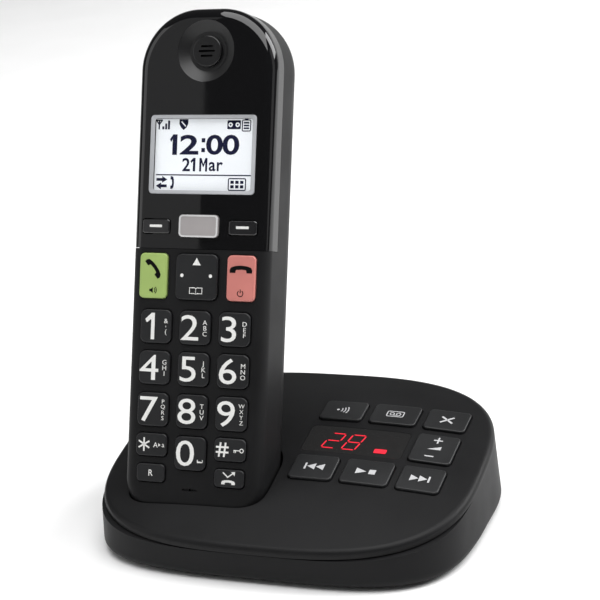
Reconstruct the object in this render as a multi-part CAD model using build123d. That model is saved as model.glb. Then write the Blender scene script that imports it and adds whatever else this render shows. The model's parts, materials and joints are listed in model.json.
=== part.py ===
"""Cordless phone with answering base: every separate piece as its own solid, in one frame.

Millimetres, +Z up, +X to the reader's right, the keypad faces -Y. Each node goes to parts/NODE.step.
"""
import math
import os

from build123d import *

# ---- where things stand -------------------------------------------------------------------------
COVER_SLOPE = 12.3            # degrees, the base's top falls towards the reader
HANDSET_LEAN = 21.0           # degrees, the handset leans back from upright
FOOT_HEIGHT = 1.0
LIP_X, LIP_Y, LIP_Z = -27.4, -31.3, 20.3   # front middle of the well's lip, from the base's centre

# ---- base ---------------------------------------------------------------------------------------
BASE_HALF_X, BASE_HALF_Y, BASE_POWER = 66.2, 48.5, 2.95
TUB_POWER = 3.8
RIM_Z = 24.5                  # height of the top rim above the base's centre
CROWN = 3.5                   # how far the middle of the top stands above its rim
COVER_SKIN = 2.0
COVER_EDGE = 2.6              # height of the cover's rolled edge
SEAM_GAP = 0.5
TUB_WALL = 2.0
TUB_INSET = 0.5
WELL_GAP = 0.9                # handset to well wall
WELL_FLOOR_GAP = 0.3
WELL_WALL = 1.6
BASE_KEY_GAP = 0.35
BASE_KEY_PROUD = 0.9
BASE_KEY_TRAVEL = 0.8
FOOT_R = 5.0
JACK_BACK_Y = BASE_HALF_Y - 1.6   # where the two inlets' fronts stand
DC_X, LINE_X = 21.0, 3.0

# Base keys: x range and y range from the base's centre, seen from above
BASE_COLUMNS = ((2.7, 18.1), (20.9, 37.6), (40.4, 55.2))
BASE_ROWS = ((15.2, 26.5), (-2.6, 12.2), (-17.3, -5.2))
BASE_KEYS = {
    "locator_key": (0, 0), "message_key": (1, 0), "erase_key": (2, 0),
    "skip_back_key": (0, 2), "play_stop_key": (1, 2), "skip_forward_key": (2, 2),
}
LENS_X = (2.0, 38.0)

# ---- handset, in its own frame: x right, y up the handset, z out of the keypad face ---------------
HALF_WIDTH = 25.1
TOP_Y, BOTTOM_Y = 164.8, -5.5
THICKNESS = 26.0
TOP_CORNER, BOTTOM_CORNER = 21.0, 11.0
FRONT_ROUND, REAR_ROUND = 4.2, 10.0
SPLIT_Z = -11.0               # parting plane between front and rear housing
WALL = 1.8
PANEL_SKIN = 1.3
PANEL_SEAM_Y = 83.7           # lower end of the glossy panel
PANEL_SIDE_Z = -8.5           # how far the glossy panel wraps around the sides
KEY_GAP = 0.3
KEY_TRAVEL = 0.6
FLANGE = 0.5
MAT_TOP_Z, MAT_THICK = -5.2, 0.8
BOARD_TOP_Z, BOARD_THICK = -6.1, 1.2

# Key name: x, y, width, height, corner radius, height of the cap above the face
COLUMN = 14.4
HANDSET_KEYS = {
    "soft_left_key": (-15.9, 91.2, 10.2, 4.8, 1.0, 0.5),
    "soft_right_key": (15.9, 91.2, 10.2, 4.8, 1.0, 0.5),
    "center_key": (0.0, 91.5, 14.2, 7.5, 1.4, 1.0),
    "talk_key": (-16.1, 74.5, 10.2, 15.2, 1.6, 0.8),
    "navigator_key": (0.0, 74.5, 15.3, 15.4, 2.2, 1.0),
    "off_key": (16.1, 74.5, 10.2, 15.2, 1.6, 0.8),
    "key_1": (-COLUMN, 57.5, 11.4, 11.3, 2.2, 0.9),
    "key_2": (0.0, 57.5, 11.4, 11.3, 2.2, 0.9),
    "key_3": (COLUMN, 57.5, 11.4, 11.3, 2.2, 0.9),
    "key_4": (-COLUMN, 43.6, 11.4, 11.3, 2.2, 0.9),
    "key_5": (0.0, 43.6, 11.4, 11.3, 2.2, 0.9),
    "key_6": (COLUMN, 43.6, 11.4, 11.3, 2.2, 0.9),
    "key_7": (-COLUMN, 29.5, 11.4, 11.3, 2.2, 0.9),
    "key_8": (0.0, 29.5, 11.4, 11.3, 2.2, 0.9),
    "key_9": (COLUMN, 29.5, 11.4, 11.3, 2.2, 0.9),
    "star_key": (-COLUMN, 17.6, 11.4, 7.7, 1.8, 0.9),
    "key_0": (0.0, 15.5, 11.4, 11.3, 2.2, 0.9),
    "hash_key": (COLUMN, 17.6, 11.4, 7.7, 1.8, 0.9),
    "recall_key": (-COLUMN, 8.1, 10.4, 6.1, 1.5, 0.8),
    "forward_key": (COLUMN, 8.1, 10.8, 6.1, 1.5, 0.8),
}
WINDOW_W, WINDOW_H, WINDOW_Y = 39.0, 26.7, 115.5
EAR_Y, EAR_R, EAR_INNER_R, EAR_DEPTH = 150.2, 10.4, 5.8, 2.0
MIC_Y = 3.2
CELL_R, CELL_LENGTH, CELL_X, CELL_Y = 5.25, 44.5, 5.7, 60.0
DOOR_HALF_X, DOOR_Y, DOOR_SKIN = 15.4, (31.0, 93.0), 1.5
CONTACT_X, CONTACT_W = 9.0, 4.0


# ---- small helpers ------------------------------------------------------------------------------
def box(x0, x1, y0, y1, z0, z1):
    """Axis-aligned box between the given limits."""
    return Pos((x0 + x1) / 2, (y0 + y1) / 2, (z0 + z1) / 2) * Box(x1 - x0, y1 - y0, z1 - z0)


def disc(x, y, z0, z1, radius, radius_top=None):
    """Upright cylinder, or a cone when a second radius is given."""
    middle = Pos(x, y, (z0 + z1) / 2)
    if radius_top is None:
        return middle * Cylinder(radius, z1 - z0)
    return middle * Cone(radius, radius_top, z1 - z0)


def block(x, y, width, height, z0, z1, corner):
    """Upright block with rounded corners."""
    outline = Pos(x, y, z0) * RectangleRounded(width, height, corner)
    return extrude(outline, amount=z1 - z0)


def join(pieces):
    """All pieces fused into one shape."""
    pieces = list(pieces)
    whole = pieces[0]
    for piece in pieces[1:]:
        whole = whole + piece
    return whole


# ---- base surfaces ------------------------------------------------------------------------------
def crown_height(x, y):
    """Height of the cover's top over its rim plane at a point from the base's centre."""
    u = abs(x) / BASE_HALF_X
    v = abs(y) / BASE_HALF_Y
    reach = (u ** BASE_POWER + v ** BASE_POWER) ** (2.0 / BASE_POWER)
    return CROWN * (1.0 - reach)


def cover_z(x, y):
    """Height of the cover's top surface above the table."""
    return RIM_Z + math.tan(math.radians(COVER_SLOPE)) * y + crown_height(x, y)


def cover_frame(x, y, lift=0.0):
    """Plane touching the cover's top at a point, with x kept to the reader's right."""
    step = 0.5
    along_x = Vector(2 * step, 0, cover_z(x + step, y) - cover_z(x - step, y))
    along_y = Vector(0, 2 * step, cover_z(x, y + step) - cover_z(x, y - step))
    normal = along_x.cross(along_y).normalized()
    origin = Vector(x, y, cover_z(x, y)) + normal * lift
    return Plane(origin=origin, x_dir=along_x, z_dir=normal)


def outline(half_x, half_y, power, z=0.0):
    """Flat face of a rounded, slightly square outline."""
    count = 48
    points = []
    for i in range(count):
        angle = 2 * math.pi * i / count
        c, s = math.cos(angle), math.sin(angle)
        x = math.copysign(abs(c) ** (2 / power), c) * half_x
        y = math.copysign(abs(s) ** (2 / power), s) * half_y
        points.append((x, y, z))
    edge = Edge.make_spline([Vector(*p) for p in points], periodic=True)
    return Face(Wire([edge]))


def under_cover(half_x, half_y, power, drop):
    """Everything inside the outline and below the cover's top lowered by drop."""
    prism = extrude(outline(half_x, half_y, power, FOOT_HEIGHT), amount=50)
    reach_x, reach_y, count = BASE_HALF_X + 6, BASE_HALF_Y + 6, 13
    grid = []
    for i in range(count):
        x = -reach_x + 2 * reach_x * i / (count - 1)
        ys = [-reach_y + 2 * reach_y * j / (count - 1) for j in range(count)]
        grid.append([Vector(x, y, cover_z(x, y) - drop) for y in ys])
    sheet = Face.make_surface_from_array_of_points(grid)
    above = Solid.extrude(sheet, Vector(0, 0, 60))
    return prism - above


def below_rim(drop):
    """Half space under the rim plane lowered by drop."""
    frame = Plane(origin=(0, 0, RIM_Z - drop),
                  z_dir=(0, -math.sin(math.radians(COVER_SLOPE)), math.cos(math.radians(COVER_SLOPE))))
    return frame.location * Pos(0, 0, -50) * Box(300, 300, 100)


# ---- handset shapes, in the handset's frame ------------------------------------------------------
def lean_frame():
    """The handset's frame as it stands in the well."""
    lean = math.radians(HANDSET_LEAN)
    return Plane(origin=(LIP_X, LIP_Y, LIP_Z), x_dir=(1, 0, 0),
                 z_dir=(0, -math.cos(lean), math.sin(lean)))


def envelope(grow):
    """Outer form of the handset grown (or shrunk) evenly by grow."""
    half = HALF_WIDTH + grow
    low, high = BOTTOM_Y - grow, TOP_Y + grow
    shape = Pos(0, (low + high) / 2) * Rectangle(2 * half, high - low)
    corners = shape.vertices().sort_by(Axis.Y)
    shape = fillet(corners[:2], BOTTOM_CORNER + grow)
    corners = [v for v in shape.vertices() if v.Y > high - 0.01]
    shape = fillet(corners, TOP_CORNER + grow)
    solid = extrude(Pos(0, 0, -THICKNESS - grow) * shape, amount=THICKNESS + 2 * grow)
    solid = fillet(solid.faces().sort_by(Axis.Z)[-1].edges(), FRONT_ROUND + grow)
    return fillet(solid.faces().sort_by(Axis.Z)[0].edges(), REAR_ROUND + grow)


def well_prism(grow):
    """The handset's cross-section grown and drawn up along the way it lifts."""
    width = 2 * (HALF_WIDTH + grow)
    depth = THICKNESS + 2 * grow
    section = Plane.XZ * Pos(0, -THICKNESS / 2) * Rectangle(width, depth)
    solid = extrude(section, amount=-90)
    solid = Pos(0, 8, 0) * solid
    sides = solid.edges().filter_by(Axis.Y)
    front = [e for e in sides if e.center().Z > -THICKNESS / 2]
    rear = [e for e in sides if e.center().Z < -THICKNESS / 2]
    solid = fillet(front, FRONT_ROUND + grow)
    rear = [e for e in solid.edges().filter_by(Axis.Y) if e.center().Z < -THICKNESS + 2]
    rear = [e for e in rear if abs(e.center().X) > width / 2 - 0.01]
    return fillet(rear, REAR_ROUND + grow)


# ---- handset pieces, in the handset's frame ------------------------------------------------------
def key_hole(name, gap=KEY_GAP):
    """Opening through the front for one key."""
    x, y, width, height, corner, _ = HANDSET_KEYS[name]
    return block(x, y, width + 2 * gap, height + 2 * gap, -WALL - 3, 3, corner + gap)


def handset_key(name):
    """One key: cap, retaining flange under the housing wall and plunger over the key mat."""
    x, y, width, height, corner, proud = HANDSET_KEYS[name]
    under = -PANEL_SKIN - WALL if y > PANEL_SEAM_Y else -WALL
    flange_top = under - 0.3
    cap = block(x, y, width, height, flange_top - 0.5, proud, corner)
    crest = cap.faces().sort_by(Axis.Z)[-1].edges()
    cap = fillet(crest, 0.45)
    flange = block(x, y, width + 2 * FLANGE, height + 2 * FLANGE, flange_top - 0.5, flange_top, corner)
    plunger = disc(x, y, MAT_TOP_Z + KEY_TRAVEL + 0.3, flange_top, 1.6)
    return join([cap, flange, plunger])


def soft_keys():
    """Names of the keys that pass through the glossy panel."""
    return [name for name, size in HANDSET_KEYS.items() if size[1] > PANEL_SEAM_Y]


def panel_zone(gap):
    """Region of the handset covered by the glossy panel."""
    return box(-40, 40, PANEL_SEAM_Y + gap, 200, PANEL_SIDE_Z + gap, 10)


def glossy_panel():
    """Upper front skin with the display window, three key openings and the earpiece dish."""
    skin = (envelope(0) - envelope(-PANEL_SKIN)) & panel_zone(0.15)
    boss = disc(0, EAR_Y, -EAR_DEPTH - 1.0, -0.6, EAR_R + 1.2)
    dish = disc(0, EAR_Y, -EAR_DEPTH, 0.01, EAR_INNER_R + 0.9, EAR_R)
    window = block(0, WINDOW_Y, WINDOW_W, WINDOW_H, -3, 3, 1.0)
    panel = skin + boss - dish - window
    for slot_y in (-1.6, 0.0, 1.6):
        panel = panel - block(0, EAR_Y + slot_y, 7.0 - abs(slot_y), 0.7, -5, 1, 0.34)
    for name in soft_keys():
        panel = panel - key_hole(name)
    return panel


def front_housing():
    """Matte front shell; under the glossy panel it steps in by the panel's thickness."""
    lower = envelope(0) & box(-40, 40, -20, PANEL_SEAM_Y, SPLIT_Z, 10)
    side = envelope(0) & box(-40, 40, PANEL_SEAM_Y, 200, SPLIT_Z, PANEL_SIDE_Z)
    upper = envelope(-PANEL_SKIN) & box(-40, 40, PANEL_SEAM_Y, 200, SPLIT_Z, 10)
    hollow_low = envelope(-WALL) & box(-40, 40, -20, PANEL_SEAM_Y, SPLIT_Z, 10)
    hollow_top = envelope(-PANEL_SKIN - WALL) & box(-40, 40, PANEL_SEAM_Y - 1, 200, SPLIT_Z, 10)
    shell = lower + side + upper - hollow_low - hollow_top
    shell = shell - disc(0, EAR_Y, -6, 1, EAR_R + 1.25)
    shell = shell - block(0, WINDOW_Y, WINDOW_W - 2.4, WINDOW_H - 2.4, -6, 3, 0.8)
    shell = shell - block(0, MIC_Y, 5.6, 0.7, -0.5, 1, 0.34)
    shell = shell - disc(0, MIC_Y, -4, 1, 0.5)
    for name in HANDSET_KEYS:
        hole = key_hole(name) if name not in soft_keys() else Pos(0, 0, -2) * key_hole(name)
        shell = shell - hole
    return shell


def rear_housing():
    """Rear shell with the battery tray, ringer slots, door opening and contact slots."""
    half = box(-40, 40, -20, 200, -60, SPLIT_Z)
    shell = (envelope(0) - envelope(-WALL)) & half
    low, high = DOOR_Y
    opening = box(-DOOR_HALF_X - 0.3, DOOR_HALF_X + 0.3, low - 0.3, high + 0.3, -THICKNESS - 1,
                  -THICKNESS + WALL + 0.5)
    tray_x, tray_y, floor = 13.0, CELL_LENGTH / 2 + 4.4, -12.4
    tray = box(-tray_x, tray_x, CELL_Y - tray_y, CELL_Y + tray_y, -THICKNESS + WALL - 0.3, floor)
    hollow = box(-tray_x + 1.2, tray_x - 1.2, CELL_Y - tray_y + 1.2, CELL_Y + tray_y - 1.2,
                 -THICKNESS - 1, floor - 1.2)
    ledge = (envelope(-WALL) & half) & box(-DOOR_HALF_X - 2.4, DOOR_HALF_X + 2.4, low - 2.4, high + 2.4,
                                           -THICKNESS + WALL - 0.3, -THICKNESS + WALL + 0.9)
    shell = shell - opening + ledge + tray - hollow
    for i in range(5):
        shell = shell - block(0, 118 + 3.0 * i, 12 - abs(i - 2) * 2.0, 1.2, -THICKNESS - 1,
                              -THICKNESS + WALL + 1, 0.55)
    for x, y in screw_points():
        shell = shell - disc(x, y, -THICKNESS - 1, -THICKNESS + 0.9, 2.3)
        shell = shell - disc(x, y, -THICKNESS - 1, -THICKNESS + WALL + 1, 1.1)
    for side in (-1, 1):
        shell = shell - contact_plate(side, 0.05)
    return shell


def screw_points():
    """Where the four rear screws of the handset stand."""
    return [(-11.0, 20.0), (11.0, 20.0), (-14.0, 106.0), (14.0, 106.0)]


def handset_screws():
    """Four pan-head screws closing the handset."""
    def screw(x, y):
        head = disc(x, y, -THICKNESS + 0.1, -THICKNESS + 0.9, 2.2)
        shank = disc(x, y, -THICKNESS + 0.9, -THICKNESS + 8, 1.0)
        slot = box(x - 1.3, x + 1.3, y - 0.25, y + 0.25, -THICKNESS, -THICKNESS + 0.5)
        cross = box(x - 0.25, x + 0.25, y - 1.3, y + 1.3, -THICKNESS, -THICKNESS + 0.5)
        return head + shank - slot - cross
    return join(screw(x, y) for x, y in screw_points())


def battery_door():
    """Lift-off door that carries on the rear form of the handset."""
    low, high = DOOR_Y
    door = (envelope(0) - envelope(-DOOR_SKIN)) & box(-DOOR_HALF_X, DOOR_HALF_X, low, high, -60, -20)
    grip = [box(-5, 5, high - 6 - 1.4 * i, high - 5.4 - 1.4 * i, -THICKNESS - 1, -THICKNESS + 0.4)
            for i in range(4)]
    return door - join(grip)


def battery_cells():
    """Two small round cells side by side with their positive tips."""
    def cell(x, way):
        body = Pos(x, CELL_Y, cell_z()) * Rot(90, 0, 0) * Cylinder(CELL_R, CELL_LENGTH - 1)
        body = fillet(body.edges().filter_by(GeomType.CIRCLE), 0.5)
        tip = Pos(x, CELL_Y + way * (CELL_LENGTH / 2), cell_z()) * Rot(90, 0, 0) * Cylinder(1.8, 1.2)
        return body + tip
    return cell(-CELL_X, 1) + cell(CELL_X, -1)


def cell_z():
    """Depth of the cells' axes."""
    return -THICKNESS + DOOR_SKIN + 0.4 + CELL_R


def battery_contacts():
    """Spring plates at both ends of the two cells."""
    plates = []
    for side in (-1, 1):
        for end in (-1, 1):
            y = CELL_Y + end * (CELL_LENGTH / 2 + 2.4)
            plates.append(box(side * CELL_X - 3.5, side * CELL_X + 3.5, y - 0.2, y + 0.2,
                              cell_z() - 4, cell_z() + 4))
            nose_y = y - end * 0.8
            plates.append(Pos(side * CELL_X, nose_y, cell_z()) * Rot(90, 0, 0) * Cylinder(1.5, 1.2))
    return join(plates)


def contact_plate(side, grow):
    """One charging plate let into the lower end of the handset."""
    x = side * CONTACT_X
    half = CONTACT_W / 2 + grow
    return box(x - half, x + half, BOTTOM_Y - 1, BOTTOM_Y + 1.9 + grow, -16.5 - grow, -12.5 + grow)


def handset_charge_contacts():
    """Two charging plates, flush with the lower end of the handset."""
    return join(contact_plate(side, 0) & envelope(0) for side in (-1, 1))


def lcd_module():
    """Display glass in its frame behind the window."""
    frame = block(0, WINDOW_Y, 43.0, 32.0, -5.9, -3.3, 0.8)
    lip = block(0, WINDOW_Y, WINDOW_W - 3.0, WINDOW_H - 3.0, -3.3, -2.4, 0.6)
    return frame + lip


def handset_display_lens():
    """Clear window plate seated in the glossy panel."""
    return block(0, WINDOW_Y, WINDOW_W - 0.1, WINDOW_H - 0.1, -1.3, -0.35, 0.95)


def earpiece_insert():
    """Small disc standing in the middle of the earpiece dish."""
    button = disc(0, EAR_Y, -EAR_DEPTH, -0.7, EAR_INNER_R - 0.5)
    button = fillet(button.faces().sort_by(Axis.Z)[-1].edges(), 0.5)
    for slot_y in (-1.6, 0.0, 1.6):
        button = button - block(0, EAR_Y + slot_y, 6.0 - abs(slot_y), 0.7, -5, 1, 0.34)
    return button


def earpiece_speaker():
    """Round receiver behind the earpiece dish."""
    return disc(0, EAR_Y, -5.8, -3.3, 8.5) + disc(0, EAR_Y, -3.3, -3.05, 5.0)


def microphone():
    """Microphone capsule behind its hole."""
    return disc(0, MIC_Y + 0.5, -4.4, -1.85, 2.0)


def handset_key_mat():
    """Rubber mat with a dome under every key."""
    sheet = block(0, 45.5, 44.0, 88.0, MAT_TOP_Z - MAT_THICK, MAT_TOP_Z, 2.0)
    slots = [box(-3, 3, 93, 95, -8, 0)]
    return sheet - join(slots)


def handset_circuit_board():
    """Main board under the key mat and display."""
    board = block(0, 73.0, 43.0, 138.0, BOARD_TOP_Z - BOARD_THICK, BOARD_TOP_Z, 9.0)
    chips = [box(-14, -4, 112, 124, BOARD_TOP_Z - BOARD_THICK - 1.6, BOARD_TOP_Z - BOARD_THICK),
             box(4, 12, 98, 106, BOARD_TOP_Z - BOARD_THICK - 1.2, BOARD_TOP_Z - BOARD_THICK)]
    return join([board] + chips)


def ringer_speaker():
    """Loudspeaker facing the rear slots."""
    return disc(0, 124, -THICKNESS + WALL + 0.3, -THICKNESS + WALL + 4.3, 9.0)


# ---- base pieces, from the base's centre --------------------------------------------------------
def base_key_size(name):
    """Centre, width and depth of a base key seen from above."""
    if name == "volume_key":
        column, row = 2, 1
    else:
        column, row = BASE_KEYS[name]
    (x0, x1), (y0, y1) = BASE_COLUMNS[column], BASE_ROWS[row]
    return (x0 + x1) / 2, (y0 + y1) / 2, x1 - x0, (y1 - y0)


def base_key_block(name, grow, low, high):
    """Upright block over a base key, in the key's own tilted frame."""
    x, y, width, depth = base_key_size(name)
    return cover_frame(x, y).location * block(0, 0, width + 2 * grow, depth + 2 * grow, low, high,
                                              1.6 + grow)


def base_key(name):
    """One base key with its flange and plunger."""
    x, y, width, depth = base_key_size(name)
    cap = block(0, 0, width, depth, -4.0, BASE_KEY_PROUD, 1.6)
    cap = fillet(cap.faces().sort_by(Axis.Z)[-1].edges(), 0.5)
    flange = block(0, 0, width + 1.4, depth + 1.4, -4.0, -3.3, 1.6)
    if name == "volume_key":
        flange = block(0, 0, width, depth, -4.0, -3.3, 1.6)
        pin = Pos(0, 0, -3.2) * Rot(0, 90, 0) * Cylinder(0.8, width + 2.0)
        return cover_frame(x, y).location * (cap + flange + pin)
    plunger = disc(0, 0, -5.6, -4.0, 2.0)
    return cover_frame(x, y).location * (cap + flange + plunger)


def well_cavity():
    """Space the handset drops into, open upwards along the way it lifts."""
    frame = lean_frame().location
    seat = Pos(0, WELL_GAP - WELL_FLOOR_GAP, 0) * envelope(WELL_GAP)
    return frame * (well_prism(WELL_GAP) + seat)


def well_liner(full_top):
    """Wall and floor of the well below the cover's top."""
    frame = lean_frame().location
    grow = WELL_GAP + WELL_WALL
    seat = Pos(0, WELL_GAP - WELL_FLOOR_GAP, 0) * envelope(grow)
    body = frame * ((well_prism(grow) & box(-40, 40, 0, 40, -60, 20)) + (seat & box(-40, 40, -20, 40, -60, 20)))
    return body & full_top & extrude(outline(BASE_HALF_X - 2, BASE_HALF_Y - 2, BASE_POWER, 0), amount=60)


def lens_zone(gap, low):
    """Block over the smoked display lens."""
    (y0, y1) = BASE_ROWS[1]
    x0, x1 = LENS_X
    middle_x, middle_y = (x0 + x1) / 2, (y0 + y1) / 2
    shape = block(0, 0, x1 - x0 + 2 * gap, y1 - y0 + 2 * gap, low, 10, 1.6)
    return cover_frame(middle_x, middle_y).location * shape


def top_cover():
    """Crowned cover with its key openings, lens seat and the handset's well."""
    full = under_cover(BASE_HALF_X, BASE_HALF_Y, BASE_POWER, 0)
    rim = full.faces().sort_by(Axis.Z)[-1].edges()
    full = fillet(rim, 2.2)
    inner = under_cover(BASE_HALF_X - COVER_SKIN, BASE_HALF_Y - COVER_SKIN, BASE_POWER, COVER_SKIN)
    shell = full - below_rim(COVER_EDGE) - inner
    cover = shell + well_liner(full) - well_cavity()
    for name in list(BASE_KEYS) + ["volume_key"]:
        cover = cover - base_key_block(name, BASE_KEY_GAP, -3.0, 10)
    cover = cover - lens_zone(0.0, -1.2)
    x0, x1 = LENS_X
    y0, y1 = BASE_ROWS[1]
    window = block(0, 0, x1 - x0 - 3, y1 - y0 - 3, -6, 10, 1.0)
    cover = cover - cover_frame((x0 + x1) / 2, (y0 + y1) / 2).location * window
    frame = lean_frame().location
    for side in (-1, 1):
        slot = box(side * CONTACT_X - 1.6, side * CONTACT_X + 1.6, BOTTOM_Y - 6, BOTTOM_Y + 2, -16.2, -12.8)
        cover = cover - frame * slot
    return cover


def display_lens():
    """Smoked lens flush with the cover."""
    full = under_cover(BASE_HALF_X, BASE_HALF_Y, BASE_POWER, 0.05)
    return full & lens_zone(-0.1, -1.2)


def tub_form(inset, low):
    """Solid form of the tub, a little squarer at its foot than at the cover."""
    half_x = BASE_HALF_X - TUB_INSET - inset
    half_y = BASE_HALF_Y - TUB_INSET - inset
    foot = outline(half_x, half_y, TUB_POWER, low)
    return loft([foot, outline(half_x, half_y, BASE_POWER, 40)])


def rim_ring(inset, thick):
    """Upright ring that follows the cover's rim."""
    outer = outline(BASE_HALF_X - inset, BASE_HALF_Y - inset, BASE_POWER, 5)
    inner = outline(BASE_HALF_X - inset - thick, BASE_HALF_Y - inset - thick, BASE_POWER, 5)
    return extrude(outer - inner, amount=40)


def lower_housing():
    """Tub under the cover with the jack openings and the foot and screw recesses."""
    form = tub_form(0, FOOT_HEIGHT)
    form = fillet(form.faces().sort_by(Axis.Z)[0].edges(), 3.0)
    tub = (form & below_rim(COVER_EDGE + SEAM_GAP)) - tub_form(TUB_WALL, FOOT_HEIGHT + TUB_WALL)
    tongue = rim_ring(COVER_SKIN + 0.3, 1.4) & below_rim(COVER_EDGE - 0.6)
    tongue = tongue - below_rim(COVER_EDGE + SEAM_GAP + 1.5)
    tub = tub + tongue
    for jack in (dc_jack_body(0.1), line_jack_body(0.1)):
        tub = tub - jack - Pos(0, 3, 0) * jack
    for x, y in foot_points():
        tub = tub - disc(x, y, 0, FOOT_HEIGHT + 0.6, FOOT_R + 0.1)
    for x, y in base_screw_points():
        tub = tub - disc(x, y, 0, FOOT_HEIGHT + 0.8, 2.7)
        tub = tub - disc(x, y, 0, 4, 1.3)
    return tub


def foot_points():
    """Centres of the four feet."""
    return [(sx * 48.0, y) for sx in (-1, 1) for y in (-33.0, 33.0)]


def base_screw_points():
    """Centres of the four base screws."""
    return [(sx * 40.0, y) for sx in (-1, 1) for y in (-36.0, 36.0)]


def rubber_feet():
    """Four round feet the base stands on."""
    feet = []
    for x, y in foot_points():
        foot = disc(x, y, 0, FOOT_HEIGHT + 0.6, FOOT_R)
        feet.append(fillet(foot.faces().sort_by(Axis.Z)[0].edges(), 0.4))
    return join(feet)


def base_screws():
    """Four screws holding the cover to the tub."""
    screws = []
    for x, y in base_screw_points():
        head = disc(x, y, FOOT_HEIGHT + 0.1, FOOT_HEIGHT + 0.8, 2.6)
        shank = disc(x, y, FOOT_HEIGHT + 0.8, FOOT_HEIGHT + 6.0, 1.25)
        cross = box(x - 1.4, x + 1.4, y - 0.3, y + 0.3, 0, FOOT_HEIGHT + 0.5)
        other = box(x - 0.3, x + 0.3, y - 1.4, y + 1.4, 0, FOOT_HEIGHT + 0.5)
        screws.append(head + shank - cross - other)
    return join(screws)


def dc_jack_body(grow):
    """Outer block of the round power inlet at the back."""
    return box(DC_X - 4.5 - grow, DC_X + 4.5 + grow, JACK_BACK_Y - 13, JACK_BACK_Y + 0.6, 9.0 - grow, 18.0 + grow)


def dc_jack():
    """Round power inlet with its centre pin."""
    bore = Pos(DC_X, JACK_BACK_Y - 4.4, 13.5) * Rot(90, 0, 0) * Cylinder(2.9, 10)
    pin = Pos(DC_X, JACK_BACK_Y - 5.0, 13.5) * Rot(90, 0, 0) * Cylinder(0.9, 8.8)
    return dc_jack_body(0) - bore + pin


def line_jack_body(grow):
    """Outer block of the telephone line inlet at the back."""
    return box(LINE_X - 6.5 - grow, LINE_X + 6.5 + grow, JACK_BACK_Y - 14, JACK_BACK_Y + 0.6, 8.0 - grow, 20.0 + grow)


def line_jack():
    """Modular line inlet with its latch notch and contact wires."""
    mouth = box(LINE_X - 4.9, LINE_X + 4.9, JACK_BACK_Y - 11, JACK_BACK_Y + 1, 10.6, 17.4)
    latch = box(LINE_X - 2.0, LINE_X + 2.0, JACK_BACK_Y - 11, JACK_BACK_Y + 1, 9.0, 10.7)
    wires = [box(LINE_X - 1.85 + 1.1 * i, LINE_X - 1.45 + 1.1 * i, JACK_BACK_Y - 10.9, JACK_BACK_Y - 3, 16.2, 17.5)
             for i in range(4)]
    return line_jack_body(0) - mouth - latch + join(wires)


def panel_plate(x0, x1, y0, y1, depth, thick):
    """Flat plate hung under the cover, in the frame of the panel's middle."""
    frame = cover_frame(29.0, 3.6).location
    return frame * box(x0, x1, y0, y1, -depth - thick, -depth)


def base_key_mat():
    """Rubber mat under the base keys."""
    return panel_plate(-27.5, 29.0, -23.5, 24.5, 7.4, 0.9) - panel_plate(-26.0, 9.5, -7.5, 8.0, 7, 3)


def base_circuit_board():
    """Base board under the key mat."""
    board = panel_plate(-28.0, 29.0, -24.5, 25.0, 8.6, 1.4)
    chip = panel_plate(-14.0, -2.0, -14.0, -2.0, 10.0, 1.2)
    return board + chip


def digit_display():
    """Two-digit display block behind the lens."""
    frame = cover_frame(20.4, 3.8).location
    return frame * (box(-13.5, 6.0, -6.0, 6.0, -7.9, -3.2))


def message_led():
    """Bar-shaped light guide beside the digits."""
    frame = cover_frame(20.4, 3.8).location
    return frame * block(12.0, -3.4, 5.6, 2.2, -7.9, -3.2, 0.6)


def base_speaker():
    """Loudspeaker under the front of the cover."""
    return disc(34.0, 8.0, FOOT_HEIGHT + TUB_WALL + 0.1, FOOT_HEIGHT + TUB_WALL + 3.0, 14.0)


def base_charge_contacts():
    """Two spring contacts coming up through the well's floor."""
    frame = lean_frame().location
    springs = []
    for side in (-1, 1):
        x = side * CONTACT_X
        blade = box(x - 1.2, x + 1.2, BOTTOM_Y - 3.2, BOTTOM_Y - WELL_FLOOR_GAP, -15.3, -13.7)
        springs.append(frame * fillet(blade.faces().sort_by(Axis.Y)[-1].edges().filter_by(Axis.X), 0.6))
    return join(springs)


# ---- everything in place --------------------------------------------------------------------------
def all_nodes():
    """Every node's shape by name, in the shared frame."""
    lean = lean_frame().location
    nodes = {
        "base_top_cover": top_cover(),
        "base_lower_housing": lower_housing(),
        "base_display_lens": display_lens(),
        "digit_display": digit_display(),
        "message_led": message_led(),
        "base_circuit_board": base_circuit_board(),
        "base_key_mat": base_key_mat(),
        "base_speaker": base_speaker(),
        "base_charge_contacts": base_charge_contacts(),
        "rubber_feet": rubber_feet(),
        "base_screws": base_screws(),
        "dc_jack": dc_jack(),
        "line_jack": line_jack(),
    }
    for name in list(BASE_KEYS) + ["volume_key"]:
        nodes[name] = base_key(name)
    nodes.update({
        "handset_front_housing": lean * front_housing(),
        "handset_glossy_panel": lean * glossy_panel(),
        "handset_rear_housing": lean * rear_housing(),
        "handset_display_lens": lean * handset_display_lens(),
        "lcd_module": lean * lcd_module(),
        "earpiece_insert": lean * earpiece_insert(),
        "earpiece_speaker": lean * earpiece_speaker(),
        "microphone": lean * microphone(),
        "handset_key_mat": lean * handset_key_mat(),
        "handset_circuit_board": lean * handset_circuit_board(),
        "ringer_speaker": lean * ringer_speaker(),
        "battery_cells": lean * battery_cells(),
        "battery_contacts": lean * battery_contacts(),
        "handset_charge_contacts": lean * handset_charge_contacts(),
        "handset_screws": lean * handset_screws(),
        "battery_door": lean * battery_door(),
    })
    for name in HANDSET_KEYS:
        nodes[name] = lean * handset_key(name)
    return nodes


if __name__ == "__main__":
    os.makedirs("parts", exist_ok=True)
    for node, shape in all_nodes().items():
        export_step(shape, f"parts/{node}.step")
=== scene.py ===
"""Looks for the cordless phone with base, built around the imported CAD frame."""
import json
import math

import bmesh
import bpy
from mathutils import Matrix, Vector
from mathutils.geometry import tessellate_polygon


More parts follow.
